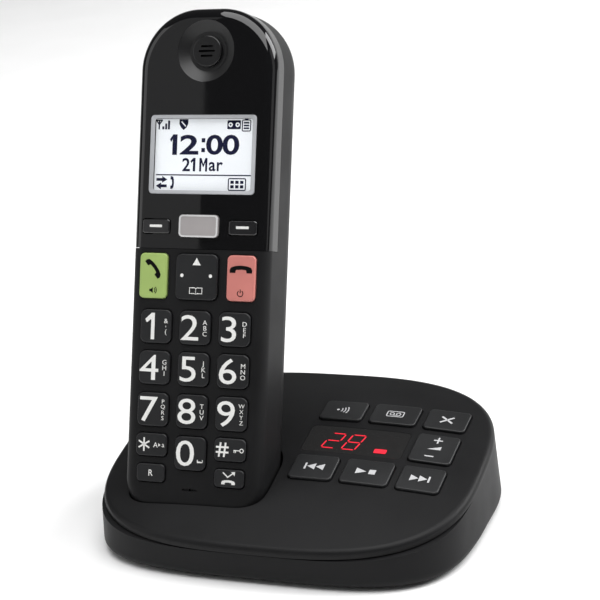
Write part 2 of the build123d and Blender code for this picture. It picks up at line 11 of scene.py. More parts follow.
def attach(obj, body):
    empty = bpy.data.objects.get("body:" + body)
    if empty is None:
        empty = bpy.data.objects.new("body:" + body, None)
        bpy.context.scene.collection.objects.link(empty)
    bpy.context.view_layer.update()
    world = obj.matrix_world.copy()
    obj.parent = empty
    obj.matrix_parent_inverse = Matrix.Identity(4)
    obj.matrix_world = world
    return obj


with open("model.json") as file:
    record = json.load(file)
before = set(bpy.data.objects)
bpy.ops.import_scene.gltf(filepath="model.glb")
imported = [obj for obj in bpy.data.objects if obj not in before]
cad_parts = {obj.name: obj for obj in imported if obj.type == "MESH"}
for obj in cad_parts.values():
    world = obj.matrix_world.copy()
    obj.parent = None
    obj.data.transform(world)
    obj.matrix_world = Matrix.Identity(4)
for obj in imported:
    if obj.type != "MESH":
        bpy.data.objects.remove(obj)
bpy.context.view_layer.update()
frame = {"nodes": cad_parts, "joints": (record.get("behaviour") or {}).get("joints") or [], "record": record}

MM = 0.001
NODES = frame["nodes"]
JOINTS = {joint["child"]: joint for joint in frame["joints"]}
BODY_OF = {node: body for body, members in frame["record"]["behaviour"]["bodies"].items() for node in members}

# Handset frame, as in the CAD: origin at the front middle of the well's lip, y up the handset
HANDSET_UP = Vector(JOINTS["handset"]["axis"]).normalized()
HANDSET_OUT = -Vector(JOINTS["door"]["axis"]).normalized()
RIGHT = Vector((1, 0, 0))
LIP = Vector((-27.4, -31.3, 20.3)) * MM

# Camera, fitted to the key grid, the window and the base's outline
CAMERA_AZIMUTH, CAMERA_ELEVATION, CAMERA_ROLL = 23.045, 19.558, -5.917
CAMERA_PLACE = Vector((226.22, -515.73, 280.37)) * MM
CAMERA_LENS = 107.8

MARK_THICK = 0.05
WHITE_INK = (0.8, 0.8, 0.78)
DARK_INK = (0.012, 0.014, 0.05)


# ---- frames ---------------------------------------------------------------------------------------
def frame_matrix(x_dir, y_dir, z_dir, origin):
    """Matrix from millimetres in a local frame to metres in the shared frame."""
    columns = Matrix((x_dir * MM, y_dir * MM, z_dir * MM)).transposed().to_4x4()
    columns.translation = origin
    return columns


HANDSET = frame_matrix(RIGHT, HANDSET_UP, HANDSET_OUT, LIP)


def top_frame(node, towards):
    """Frame in the middle of a key's top face, for marks; towards is roughly the face's normal."""
    mesh = NODES[node].data
    normal = Vector()
    for polygon in mesh.polygons:
        if polygon.normal.dot(towards) > 0.97:
            normal += polygon.normal * polygon.area
    normal.normalize()
    x_dir = (RIGHT - normal * RIGHT.dot(normal)).normalized()
    y_dir = normal.cross(x_dir)
    reach = [[vertex.co.dot(axis) for vertex in mesh.vertices] for axis in (x_dir, y_dir, normal)]
    middle = [(min(values) + max(values)) / 2 for values in reach[:2]]
    origin = x_dir * middle[0] + y_dir * middle[1] + normal * max(reach[2])
    return frame_matrix(x_dir, y_dir, normal, origin)


# ---- flat shapes, in millimetres -------------------------------------------------------------------
def arc(x, y, radius, start, end, count=16):
    """Points on an arc, angles in degrees."""
    angles = [math.radians(start + (end - start) * i / count) for i in range(count + 1)]
    return [(x + radius * math.cos(a), y + radius * math.sin(a)) for a in angles]


def disc(x, y, radius, count=20):
    """Round outline."""
    return arc(x, y, radius, 0, 360, count)[:-1]


def rect(x, y, width, height):
    """Upright rectangle about a centre."""
    w, h = width / 2, height / 2
    return [(x - w, y - h), (x + w, y - h), (x + w, y + h), (x - w, y + h)]


def rounded(x, y, width, height, corner, count=5):
    """Rectangle with round corners."""
    w, h = width / 2 - corner, height / 2 - corner
    points = []
    for sx, sy, start in ((1, 1, 0), (-1, 1, 90), (-1, -1, 180), (1, -1, 270)):
        points += arc(x + sx * w, y + sy * h, corner, start, start + 90, count)
    return points


def ribbon(points, width):
    """Outline of an open stroke of even width."""
    left, right = [], []
    last = len(points) - 1
    for i, (x, y) in enumerate(points):
        ahead = points[min(i + 1, last)]
        behind = points[max(i - 1, 0)]
        along = Vector((ahead[0] - behind[0], ahead[1] - behind[1])).normalized()
        spread = width / 2
        if 0 < i < last:
            step = Vector((x - behind[0], y - behind[1])).normalized()
            spread = spread / max(0.5, abs(along.dot(step)))
        side = Vector((-along.y, along.x)) * spread
        left.append((x + side.x, y + side.y))
        right.append((x - side.x, y - side.y))
    return left + right[::-1]


def loop_band(points, width):
    """A closed stroke: outer outline and the hole in it."""
    count = len(points)
    outer, inner = [], []
    for i, (x, y) in enumerate(points):
        before, after = points[i - 1], points[(i + 1) % count]
        along = Vector((after[0] - before[0], after[1] - before[1])).normalized()
        side = Vector((along.y, -along.x)) * width / 2
        outer.append((x + side.x, y + side.y))
        inner.append((x - side.x, y - side.y))
    return [outer, inner]


# ---- meshes ---------------------------------------------------------------------------------------
def new_object(name, vertices, faces, material, smooth=False):
    """Mesh object linked to the scene."""
    mesh = bpy.data.meshes.new(name)
    mesh.from_pydata([tuple(v) for v in vertices], [], faces)
    mesh.validate()
    mesh.update()
    if smooth:
        mesh.polygons.foreach_set("use_smooth", [True] * len(mesh.polygons))
    mesh.materials.append(material)
    piece = bpy.data.objects.new(name, mesh)
    bpy.context.scene.collection.objects.link(piece)
    return piece


def prism(shapes, low, high, place):
    """Closed prism over flat shapes. A shape is an outline or a list of an outline and its holes."""
    vertices, faces = [], []
    for shape in shapes:
        loops = [shape] if isinstance(shape[0][0], (int, float)) else shape
        flat = [[Vector((x, y, 0)) for x, y in loop] for loop in loops]
        total = sum(len(loop) for loop in loops)
        base = len(vertices)
        for z in (low, high):
            vertices += [place @ Vector((p.x, p.y, z)) for loop in flat for p in loop]
        for a, b, c in tessellate_polygon(flat):
            points = [p for loop in flat for p in loop]
            turn = (points[b] - points[a]).cross(points[c] - points[a]).z
            if abs(turn) < 1e-9:
                continue
            if turn < 0:
                b, c = c, b
            faces.append((base + total + a, base + total + b, base + total + c))
            faces.append((base + a, base + c, base + b))
        start = 0
        for loop in flat:
            count = len(loop)
            area = sum(loop[i - 1].x * loop[i].y - loop[i].x * loop[i - 1].y for i in range(count))
            is_hole = start > 0
            for i in range(count):
                j = (i + 1) % count
                quad = (start + i, start + j, total + start + j, total + start + i)
                if (area < 0) != is_hole:
                    quad = quad[::-1]
                faces.append(tuple(base + q for q in quad))
            start += count
    return vertices, faces


def mark(name, shapes, place, body, material, low=0.0, thick=MARK_THICK):
    """Printed or moulded mark of some thickness, riding on a body."""
    vertices, faces = prism(shapes, low, low + thick, place)
    piece = new_object(name, vertices, faces, material)
    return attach(piece, body)


def weld(mesh, reach):
    """Join vertices that lie on each other, so that caps and sides close up."""
    shape = bmesh.new()
    shape.from_mesh(mesh)
    bmesh.ops.remove_doubles(shape, verts=shape.verts, dist=reach)
    bmesh.ops.dissolve_degenerate(shape, edges=shape.edges, dist=reach)
    shape.to_mesh(mesh)
    shape.free()


def lettering(name, text, x, y, height, place, body, material, weight=0.0, width=1.0, low=0.0):
    """Generic digits or letters as a thin closed mesh; height is that of a capital."""
    curve = bpy.data.curves.new(name, "FONT")
    curve.body = text
    curve.align_x = "CENTER"
    curve.align_y = "CENTER"
    curve.size = height / 0.73
    curve.offset = weight
    curve.extrude = MARK_THICK / 2
    curve.resolution_u = 4
    holder = bpy.data.objects.new(name + "_text", curve)
    bpy.context.scene.collection.objects.link(holder)
    bpy.context.view_layer.update()
    mesh = bpy.data.meshes.new_from_object(holder)
    bpy.data.objects.remove(holder)
    bpy.data.curves.remove(curve)
    weld(mesh, 0.001)
    low_y = min(v.co.y for v in mesh.vertices)
    high_y = max(v.co.y for v in mesh.vertices)
    shift = Matrix.Translation((x, y, low + MARK_THICK / 2))
    shape = shift @ Matrix.Diagonal((width, 1, 1, 1)) @ Matrix.Translation((0, -(low_y + high_y) / 2, 0))
    mesh.transform(place @ shape)
    mesh.materials.clear()
    mesh.materials.append(material)
    piece = bpy.data.objects.new(name, mesh)
    bpy.context.scene.collection.objects.link(piece)
    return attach(piece, body)


# ---- materials --------------------------------------------------------------------------------------
def node_material(name, color, roughness, specular=0.5):
    """Material with its Principled shader and object coordinates."""
    material = bpy.data.materials.new(name)
    material.use_nodes = True
    tree = material.node_tree
    shader = tree.nodes["Principled BSDF"]
    shader.inputs["Base Color"].default_value = (*color, 1)
    shader.inputs["Roughness"].default_value = roughness
    shader.inputs["Specular IOR Level"].default_value = specular
    place = tree.nodes.new("ShaderNodeTexCoord")
    return material, tree, shader, place.outputs["Object"]


def noise(tree, place, size_mm, detail=3.0):
    """Noise whose features are about size_mm wide."""
    node = tree.nodes.new("ShaderNodeTexNoise")
    node.inputs["Scale"].default_value = 1.0 / (size_mm * MM)
    node.inputs["Detail"].default_value = detail
    tree.links.new(place, node.inputs["Vector"])
    return node.outputs["Fac"]


def spread(tree, value, low, high, from_low=0.3, from_high=0.7):
    """Value stretched to a new range."""
    node = tree.nodes.new("ShaderNodeMapRange")
    node.inputs["From Min"].default_value = from_low
    node.inputs["From Max"].default_value = from_high
    node.inputs["To Min"].default_value = low
    node.inputs["To Max"].default_value = high
    tree.links.new(value, node.inputs["Value"])
    return node.outputs["Result"]


def two_tone(tree, value, first, second):
    """Colour between two colours."""
    node = tree.nodes.new("ShaderNodeMix")
    node.data_type = "RGBA"
    node.inputs["A"].default_value = (*first, 1)
    node.inputs["B"].default_value = (*second, 1)
    tree.links.new(value, node.inputs["Factor"])
    return node.outputs["Result"]


def bump(tree, shader, height, strength, depth_mm):
    """Relief on the shader from a height."""
    node = tree.nodes.new("ShaderNodeBump")
    node.inputs["Strength"].default_value = strength
    node.inputs["Distance"].default_value = depth_mm * MM
    tree.links.new(height, node.inputs["Height"])
    tree.links.new(node.outputs["Normal"], shader.inputs["Normal"])
    return node


def scaled(color, factor):
    """Colour made lighter or darker."""
    return tuple(min(1.0, c * factor) for c in color)


def moulded(name, color, roughness, grain_mm=0.35, relief=0.25, specular=0.5):
    """Spark-eroded moulded plastic: fine grain, with slow changes of tone and gloss from handling."""
    material, tree, shader, place = node_material(name, color, roughness, specular)
    grain = noise(tree, place, grain_mm, 2.0)
    slow = noise(tree, place, 22.0, 3.0)
    tone = two_tone(tree, spread(tree, slow, 0, 1), scaled(color, 0.9), scaled(color, 1.12))
    tree.links.new(tone, shader.inputs["Base Color"])
    gloss = spread(tree, slow, roughness - 0.05, roughness + 0.06)
    tree.links.new(gloss, shader.inputs["Roughness"])
    bump(tree, shader, grain, relief, 0.03)
    return material


def polished(name, color, roughness=0.07, coat=0.6):
    """High-gloss plastic with hairline scratches and faint finger marks."""
    material, tree, shader, place = node_material(name, color, roughness)
    shader.inputs["Coat Weight"].default_value = coat
    shader.inputs["Coat Roughness"].default_value = 0.03
    smear = noise(tree, place, 9.0, 4.0)
    dust = noise(tree, place, 0.5, 2.0)
    tree.links.new(spread(tree, smear, roughness, roughness + 0.03), shader.inputs["Roughness"])
    tone = two_tone(tree, spread(tree, dust, 0, 1, 0.62, 0.8), color, scaled(color, 1.7))
    tree.links.new(tone, shader.inputs["Base Color"])
    stretch = tree.nodes.new("ShaderNodeMapping")
    stretch.inputs["Scale"].default_value = (1.0, 0.05, 0.05)
    tree.links.new(place, stretch.inputs["Vector"])
    scratch = noise(tree, stretch.outputs["Vector"], 0.4, 2.0)
    bump(tree, shader, scratch, 0.015, 0.01)
    return material


def satin_inside(material, centre, radius_mm, roughness):
    """Make a glossy material satin within a ball, keeping its own roughness elsewhere."""
    tree = material.node_tree
    shader = tree.nodes["Principled BSDF"]
    place = tree.nodes.new("ShaderNodeTexCoord")
    away = tree.nodes.new("ShaderNodeVectorMath")
    away.operation = "DISTANCE"
    away.inputs[1].default_value = centre
    tree.links.new(place.outputs["Object"], away.inputs[0])
    inside = spread(tree, away.outputs["Value"], 1, 0, (radius_mm - 0.1) * MM, radius_mm * MM)
    blend = tree.nodes.new("ShaderNodeMix")
    blend.inputs["B"].default_value = roughness
    tree.links.new(inside, blend.inputs["Factor"])
    tree.links.new(shader.inputs["Roughness"].links[0].from_socket, blend.inputs["A"])
    tree.links.new(blend.outputs["Result"], shader.inputs["Roughness"])
    return material


def rubber(name, color):
    """Matte rubber with a dusty bloom."""
    material, tree, shader, place = node_material(name, color, 0.85, 0.3)
    bloom = noise(tree, place, 3.0, 4.0)
    tone = two_tone(tree, spread(tree, bloom, 0, 1), color, scaled(color, 1.5))
    tree.links.new(tone, shader.inputs["Base Color"])
    bump(tree, shader, noise(tree, place, 0.25, 2.0), 0.4, 0.04)
    return material


def metal(name, color, roughness, brush_mm=0.15):
    """Plated or brushed metal with fine lines one way."""
    material, tree, shader, place = node_material(name, color, roughness)
    shader.inputs["Metallic"].default_value = 1.0
    stretch = tree.nodes.new("ShaderNodeMapping")
    stretch.inputs["Scale"].default_value = (0.06, 1.0, 1.0)
    tree.links.new(place, stretch.inputs["Vector"])
    lines = noise(tree, stretch.outputs["Vector"], brush_mm, 2.0)
    tree.links.new(spread(tree, lines, roughness - 0.06, roughness + 0.1), shader.inputs["Roughness"])
    stain = noise(tree, place, 2.5, 3.0)
    tone = two_tone(tree, spread(tree, stain, 0, 1), scaled(color, 0.85), color)
    tree.links.new(tone, shader.inputs["Base Color"])
    bump(tree, shader, lines, 0.12, 0.01)
    return material


def circuit(name, color):
    """Solder mask over copper tracks."""
    material, tree, shader, place = node_material(name, color, 0.35)
    tracks = tree.nodes.new("ShaderNodeTexBrick")
    tracks.inputs["Scale"].default_value = 1.0 / (1.6 * MM)
    tracks.inputs["Mortar Size"].default_value = 0.12
    tracks.inputs["Color1"].default_value = (*color, 1)
    tracks.inputs["Color2"].default_value = (*scaled(color, 0.85), 1)
    tracks.inputs["Mortar"].default_value = (*scaled(color, 1.8), 1)
    tree.links.new(place, tracks.inputs["Vector"])
    tree.links.new(tracks.outputs["Color"], shader.inputs["Base Color"])
    bump(tree, shader, noise(tree, place, 0.4, 2.0), 0.15, 0.02)
    return material


def ink(name, color, roughness=0.45, specular=0.4):
    """Printed ink with slightly uneven cover."""
    material, tree, shader, place = node_material(name, color, roughness, specular)
    cover = noise(tree, place, 0.3, 3.0)
    tone = two_tone(tree, spread(tree, cover, 0, 1), scaled(color, 0.93), color)
    tree.links.new(tone, shader.inputs["Base Color"])
    bump(tree, shader, cover, 0.06, 0.01)
    return material


def glowing(name, color, strength, unevenness=0.12, size_mm=4.0):
    """Lit surface whose light is a little uneven."""
    material, tree, shader, place = node_material(name, color, 0.4)
    uneven = noise(tree, place, size_mm, 2.0)
    tone = two_tone(tree, spread(tree, uneven, 0, 1), scaled(color, 1 - unevenness), color)
    tree.links.new(tone, shader.inputs["Base Color"])
    tree.links.new(tone, shader.inputs["Emission Color"])
    shader.inputs["Emission Strength"].default_value = strength
    return material


def clear_plate(name, tint, gloss_share, roughness=0.03):
    """Thin clear plate: mostly see-through, with a gloss on top and faint smears."""
    material, tree, shader, place = node_material(name, (0.02, 0.02, 0.02), roughness)
    smear = noise(tree, place, 8.0, 3.0)
    tree.links.new(spread(tree, smear, roughness, roughness + 0.07), shader.inputs["Roughness"])
    through = tree.nodes.new("ShaderNodeBsdfTransparent")
    through.inputs["Color"].default_value = (*tint, 1)
    mix = tree.nodes.new("ShaderNodeMixShader")
    mix.inputs["Fac"].default_value = gloss_share
    tree.links.new(through.outputs["BSDF"], mix.inputs[1])
    tree.links.new(shader.outputs["BSDF"], mix.inputs[2])
    tree.links.new(mix.outputs["Shader"], tree.nodes["Material Output"].inputs["Surface"])
    return material


def sleeve(name):
    """Battery sleeve: a dark body with a lighter band near one end."""
    material, tree, shader, place = node_material(name, (0.03, 0.12, 0.3), 0.3)
    split = tree.nodes.new("ShaderNodeSeparateXYZ")
    tree.links.new(place, split.inputs["Vector"])
    band = spread(tree, split.outputs["Z"], 0, 1, 0.09, 0.0902)
    tone = two_tone(tree, band, (0.02, 0.1, 0.28), (0.55, 0.56, 0.58))
    tree.links.new(tone, shader.inputs["Base Color"])
    bump(tree, shader, noise(tree, place, 1.5, 3.0), 0.1, 0.02)
    return material


MATERIALS = {
    "cover_plastic": moulded("cover_plastic", (0.007, 0.007, 0.0075), 0.46, 0.4, 0.3, 0.18),
    "tub_plastic": moulded("tub_plastic", (0.0075, 0.0075, 0.008), 0.5, 0.4, 0.35, 0.15),
    "smoked_lens": clear_plate("smoked_lens", (0.5, 0.12, 0.1), 0.72, 0.2),
    "display_block": moulded("display_block", (0.006, 0.006, 0.006), 0.6),
    "light_guide": glowing("light_guide", (0.9, 0.02, 0.015), 2.2),
    "board": circuit("board", (0.02, 0.12, 0.04)),
    "mat_rubber": rubber("mat_rubber", (0.3, 0.3, 0.31)),
    "speaker_black": moulded("speaker_black", (0.03, 0.03, 0.03), 0.5, 0.8, 0.4),
    "contact_metal": metal("contact_metal", (0.83, 0.8, 0.72), 0.22),
    "foot_rubber": rubber("foot_rubber", (0.03, 0.03, 0.03)),
    "screw_steel": metal("screw_steel", (0.55, 0.55, 0.57), 0.32),
    "jack_plastic": moulded("jack_plastic", (0.02, 0.02, 0.02), 0.5),
    "base_key_plastic": moulded("base_key_plastic", (0.0125, 0.0128, 0.0135), 0.4, 0.3, 0.2, 0.35),
    "handset_matte": moulded("handset_matte", (0.0075, 0.0075, 0.008), 0.5, 0.35, 0.3, 0.16),
    "panel_gloss": polished("panel_gloss", (0.003, 0.003, 0.0035), 0.012, 0.0),
    "window_clear": clear_plate("window_clear", (0.98, 0.98, 0.98), 0.06),
    "display_frame": moulded("display_frame", (0.5, 0.52, 0.55), 0.4),
    "capsule_metal": metal("capsule_metal", (0.7, 0.7, 0.7), 0.3),
    "cell_sleeve": sleeve("cell_sleeve"),
    "key_charcoal": moulded("key_charcoal", (0.0115, 0.0118, 0.0128), 0.36, 0.3, 0.2, 0.35),
    "key_gloss": polished("key_gloss", (0.008, 0.008, 0.009), 0.16),
    "key_silver": moulded("key_silver", (0.33, 0.31, 0.31), 0.3, 0.25, 0.1),
    "key_green": moulded("key_green", (0.32, 0.44, 0.13), 0.35, 0.3, 0.1),
    "key_red": moulded("key_red", (0.55, 0.19, 0.165), 0.35, 0.3, 0.1),
}
INK_WHITE = ink("ink_white", WHITE_INK)
INK_PALE = ink("ink_pale", (0.5, 0.5, 0.51))
INK_BLACK = ink("ink_black", (0.002, 0.002, 0.002), 0.6, 0.1)
LCD_INK = ink("lcd_ink", DARK_INK, 0.6, 0.1)
LCD_WHITE = glowing("lcd_white", (0.80, 0.83, 0.86), 0.55, 0.05, 14.0)
SEGMENT_RED = glowing("segment_red", (0.7, 0.012, 0.03), 0.6, 0.1, 1.0)
BEZEL_GREY = moulded("bezel_grey", (0.42, 0.43, 0.45), 0.35, 0.4, 0.15)
EAR_GLOSS = polished("ear_gloss", (0.004, 0.004, 0.0045), 0.3, 0.0)
EAR_CENTRE = HANDSET @ Vector((0, 150.2, -1.0))
satin_inside(MATERIALS["panel_gloss"], EAR_CENTRE, 10.4, 0.42)
# Rim of the centre key: a real silver ring. It is given a flat light grey non-metal as a painted reflection
# in place of its chrome glint.
RIM_PAINTED_REFLECTION = moulded("rim_painted_reflection", (0.6, 0.6, 0.6), 0.3, 0.3, 0.1)


def dress_nodes():
    """Every CAD node takes the material of its slot."""
    for entry in frame["record"]["subparts"]:
        node = NODES[entry["node"]]
        node.data.materials.clear()
        material = EAR_GLOSS if entry["node"] == "earpiece_insert" else MATERIALS[entry["material_slot"]]
        node.data.materials.append(material)
        node.data.polygons.foreach_set("material_index", [0] * len(node.data.polygons))


# ---- icons, in millimetres about their middle -------------------------------------------------------
def handset_icon(size, lying):
    """Telephone receiver seen from the side: tilted for calling, lying for ending a call."""
    half = [(0.0, 0.3), (0.5, 0.26), (0.88, 0.14), (1.0, -0.08), (0.97, -0.3), (0.5, -0.3), (0.45, -0.06),
            (0.0, -0.02)]
    mirrored = [(-x, y) for x, y in half[1:-1]]
    points = [(x * size, y * size) for x, y in half[::-1] + mirrored]
    return points if lying else turned(points, -50)


def turned(points, degrees, x=0.0, y=0.0):
    """Outline turned about its origin, then moved."""
    c, s = math.cos(math.radians(degrees)), math.sin(math.radians(degrees))
    return [(x + px * c - py * s, y + px * s + py * c) for px, py in points]


def moved(points, x, y, scale=1.0):
    """Outline scaled, then moved."""
    return [(x + px * scale, y + py * scale) for px, py in points]


def placed(shapes, x, y, scale=1.0):
    """A group of flat shapes scaled and moved."""
    out = []
    for shape in shapes:
        if isinstance(shape[0][0], (int, float)):
            out.append(moved(shape, x, y, scale))
        else:
            out.append([moved(loop, x, y, scale) for loop in shape])
    return out


def speaker_icon():
    """Small loudspeaker with one sound arc."""
    cone = [(-0.9, -0.3), (-0.45, -0.3), (0.05, -0.75), (0.05, 0.75), (-0.45, 0.3), (-0.9, 0.3)]
    return [cone, ribbon(arc(-0.1, 0, 0.75, -45, 45, 8), 0.18), ribbon(arc(-0.1, 0, 1.15, -45, 45, 8), 0.18)]


def power_icon():
    """Ring open at the top with a bar in the gap."""
    return [ribbon(arc(0, 0, 0.75, 125, 415, 16), 0.2), rect(0, 0.55, 0.2, 0.9)]


def book_icon():
    """Open book."""
    left = [(-1.9, -0.8), (-1.9, 0.8), (-0.4, 0.8), (0, 0.55), (0, -1.05), (-0.4, -0.8)]
    right = [(-x, y) for x, y in left][::-1]
    return [loop_band(left[::-1], 0.24), loop_band(right[::-1], 0.24)]


def waves_icon():
    """Growing arcs of a paging signal with a dot."""
    arcs = [ribbon(arc(-1.6, 0, r, -opening, opening, 8), 0.28)
            for r, opening in ((1.2, 38), (2.0, 33), (2.8, 29))]
    return [disc(-1.6, 0, 0.36)] + arcs


def tape_icon():
    """Cassette outline with its two reels."""
    reels = [loop_band(disc(x, 0, 0.62, 14), 0.28) for x in (-0.95, 0.95)]
    return [loop_band(rounded(0, 0, 4.9, 2.5, 0.4), 0.3), rect(0, -0.6, 1.9, 0.26)] + reels


def cross_icon():
    """Diagonal cross."""
    return [ribbon([(-1.3, -1.0), (1.3, 1.0)], 0.42), ribbon([(-1.3, 1.0), (1.3, -1.0)], 0.42)]


def skip_icon(way):
    """Two triangles against a bar; way is 1 for forward."""
    first = [(-1.9 * way, 0.8), (-0.4 * way, 0), (-1.9 * way, -0.8)]
    second = [(-0.3 * way, 0.8), (1.2 * way, 0), (-0.3 * way, -0.8)]
    return [first, second, rect(1.5 * way, 0, 0.34, 1.6)]


def play_stop_icon():
    """Triangle and square."""
    return [[(-2.2, 0.85), (-0.1, 0), (-2.2, -0.85)], rect(1.05, 0, 1.3, 1.3)]


def key_icon():
    """Small key: ring, stem and two teeth."""
    return [loop_band(disc(0.8, 0, 0.42, 14), 0.2), rect(-0.4, 0, 1.5, 0.2), rect(-0.65, -0.3, 0.2, 0.4),
            rect(-1.0, -0.3, 0.2, 0.4)]


def antenna_icon():
    """Aerial with four bars of signal."""
    mast = [rect(-2.5, 0, 0.42, 2.8), ribbon([(-3.5, 1.4), (-2.5, 0.1)], 0.4),
            ribbon([(-1.5, 1.4), (-2.5, 0.1)], 0.4), rect(-2.5, 1.4, 2.3, 0.4)]
    bars = [rect(-1.1 + 0.95 * i, -1.4 + 0.45 * (i + 1), 0.66, 0.9 * (i + 1)) for i in range(3)]
    return mast + bars


def shield_icon():
    """Shield with a bar across."""
    shape = [(-1.3, 1.4), (1.3, 1.4), (1.3, 0.1), (0.8, -0.8), (0, -1.5), (-0.8, -0.8), (-1.3, 0.1)]
    return [[shape[::-1], ribbon([(-0.7, 0.8), (0.6, -0.5)], 0.35)]]


def battery_icon():
    """Battery with charge bars."""
    bars = [rect(0, -0.75 + 0.7 * i, 1.5, 0.42) for i in range(3)]
    return [loop_band(rounded(0, -0.05, 2.3, 2.8, 0.25, 2), 0.26), rect(0, 1.5, 1.0, 0.35)] + bars


def message_icon():
    """Filled box with two reels cut out."""
    return [[rounded(0, 0, 3.6, 2.2, 0.2, 2), disc(-0.95, 0, 0.6, 14)[::-1], disc(0.95, 0, 0.6, 14)[::-1]],
            disc(-0.95, 0, 0.25, 10), disc(0.95, 0, 0.25, 10)]


def redial_icon():
    """Two arrows passing each other beside a receiver."""
    right_arrow = [(-2.5, 0.4), (-0.9, 0.4), (-0.9, -0.05), (0.5, 0.75), (-0.9, 1.6), (-0.9, 1.1),
                   (-2.5, 1.1)]
    left_arrow = [(-x - 2.1, -y - 0.1) for x, y in right_arrow]
    return [right_arrow, left_arrow, turned(handset_icon(1.6, True), -90, 1.9, 0)]


def menu_icon():
    """Grid of six cells."""
    cells = [rect(-1.3 + 1.3 * i, -0.55 + 1.1 * j, 0.9, 0.75) for i in range(3) for j in range(2)]
    return [loop_band(rounded(0, 0, 4.6, 2.9, 0.3, 2), 0.28)] + cells


# ---- marks on the handset's keys -----------------------------------------------------------------------
DIGIT_X, DIGIT_WIDTH, LETTER_X = -1.75, 1.24, 3.8
DIGIT_LETTERS = {
    "key_1": ("1", "&'("), "key_2": ("2", "ABC"), "key_3": ("3", "DEF"),
    "key_4": ("4", "GHI"), "key_5": ("5", "JKL"), "key_6": ("6", "MNO"),
    "key_7": ("7", "PQRS"), "key_8": ("8", "TUV"), "key_9": ("9", "WXYZ"),
    "key_0": ("0", ""),
}


def figure_one(x, y, height, stroke):
    """Figure 1 with a flag and no foot."""
    outline = [(0.0, -0.5), (0.0, 0.5), (-stroke * 0.9, 0.5), (-0.4, 0.26), (-0.33, 0.13), (-stroke, 0.27),
               (-stroke, -0.5)]
    return [(x + px * height, y + py * height) for px, py in outline[::-1]]


def number_marks(node, digit, letters):
    """Large digit on the left of a key and its letters in a column on the right."""
    place = top_frame(node, HANDSET_OUT)
    body = BODY_OF[node]
    if digit == "1":
        mark("digit_key_1", [figure_one(-0.4, 0, 8.9, 0.145)], place, body, INK_WHITE)
    else:
        lettering(f"digit_{node}", digit, DIGIT_X, 0, 8.9, place, body, INK_WHITE, width=DIGIT_WIDTH)
    count = len(letters)
    step, height = (1.9, 1.6) if count < 4 else (1.85, 1.4)
    for i, letter in enumerate(letters):
        y = (count - 1) * step / 2 - i * step
        lettering(f"letter_{node}_{i}", letter, LETTER_X, y, height, place, body, INK_WHITE, width=1.1)
    if digit == "0":
        mark("space_key_0", [ribbon([(2.9, -1.9), (2.9, -2.7), (4.7, -2.7), (4.7, -1.9)], 0.3)], place, body,
             INK_WHITE)


def star_marks():
    """Six-armed star and a small letter pair on the star key."""
    place = top_frame("star_key", HANDSET_OUT)
    body = BODY_OF["star_key"]
    arms = [turned(rect(0, 1.15, 0.55, 2.3), 60 * i, -2.7, 0) for i in range(6)]
    mark("star_mark", arms, place, body, INK_WHITE)
    lettering("star_letters", "A", 1.6, 0.0, 1.8, place, body, INK_WHITE)
    mark("star_arrow", [[(2.7, -0.5), (2.7, 0.6), (3.5, 0.05)]], place, body, INK_WHITE)
    lettering("star_letters_small", "a", 4.4, -0.1, 1.7, place, body, INK_WHITE)


def hash_marks():
    """Hash sign and a small key on the hash key."""
    place = top_frame("hash_key", HANDSET_OUT)
    body = BODY_OF["hash_key"]
    bars = [rect(-2.6, y, 4.6, 0.62) for y in (-0.85, 0.85)]
    posts = [[(x - 0.55, -2.4), (x + 0.1, -2.4), (x + 0.65, 2.4), (x, 2.4)] for x in (-3.55, -1.75)]
    mark("hash_bars", bars, place, body, INK_WHITE)
    mark("hash_posts", posts, place, body, INK_WHITE, low=0.005)
    mark("hash_lock", placed(key_icon(), 3.2, 0.0, 1.5), place, body, INK_WHITE, low=0.01)


def call_marks():
    """Receiver icons on the green and red keys and on the last key."""
    green = top_frame("talk_key", HANDSET_OUT)
    red = top_frame("off_key", HANDSET_OUT)
    mark("talk_receiver", placed([handset_icon(3.9, False)], 0.2, 2.6), green, BODY_OF["talk_key"], INK_BLACK)
    mark("talk_speaker", placed(speaker_icon(), 0, -4.9, 1.35), green, BODY_OF["talk_key"], INK_BLACK)
    mark("off_receiver", placed([handset_icon(4.1, True)], 0, 3.0), red, BODY_OF["off_key"], INK_BLACK)
    mark("off_power", placed(power_icon(), 0, -5.0, 1.35), red, BODY_OF["off_key"], INK_BLACK)
    block = top_frame("forward_key", HANDSET_OUT)
    body = BODY_OF["forward_key"]
    mark("forward_receiver", placed([handset_icon(2.5, True)], -0.1, -1.2), block, body, INK_WHITE)
    mark("forward_arrow", [ribbon([(-2.1, 2.0), (-0.3, 0.5), (1.5, 1.8)], 0.42),
         [(2.3, 2.4), (0.9, 2.3), (2.2, 1.0)]], block, body, INK_WHITE)
    recall = top_frame("recall_key", HANDSET_OUT)
    lettering("recall_letter", "R", 0, 0, 2.2, recall, BODY_OF["recall_key"], INK_WHITE)


def navigator_marks():
    """Triangle, two dots and an open book on the navigator key."""
    place = top_frame("navigator_key", HANDSET_OUT)
    body = BODY_OF["navigator_key"]
    mark("navigator_up", [[(-1.5, 3.9), (1.5, 3.9), (0, 6.4)]], place, body, INK_WHITE)
    mark("navigator_dots", [disc(x, 0.4, 0.6) for x in (-5.3, 5.2)], place, body, INK_WHITE)
    mark("navigator_book", placed(book_icon(), 0, -4.6, 1.2), place, body, INK_WHITE)


def soft_marks():
    """White dash on each soft key and a rim around the silver key; the rim is real, but its flat light grey
    is a painted reflection of its chrome.
    """
    for node in ("soft_left_key", "soft_right_key"):
        place = top_frame(node, HANDSET_OUT)
        mark("dash_" + node, [rounded(0, 0.1, 4.6, 0.85, 0.2, 3)], place, BODY_OF[node], INK_WHITE)
    rim = loop_band(rounded(0, 0, 13.6, 6.9, 1.1, 5), 0.55)
    place = top_frame("center_key", HANDSET_OUT)
    # The ring's light grey is a painted reflection of the chrome, not the ring's own colour.
    mark("centre_key_painted_reflection_rim", [rim], place, BODY_OF["center_key"], RIM_PAINTED_REFLECTION, thick=0.12)


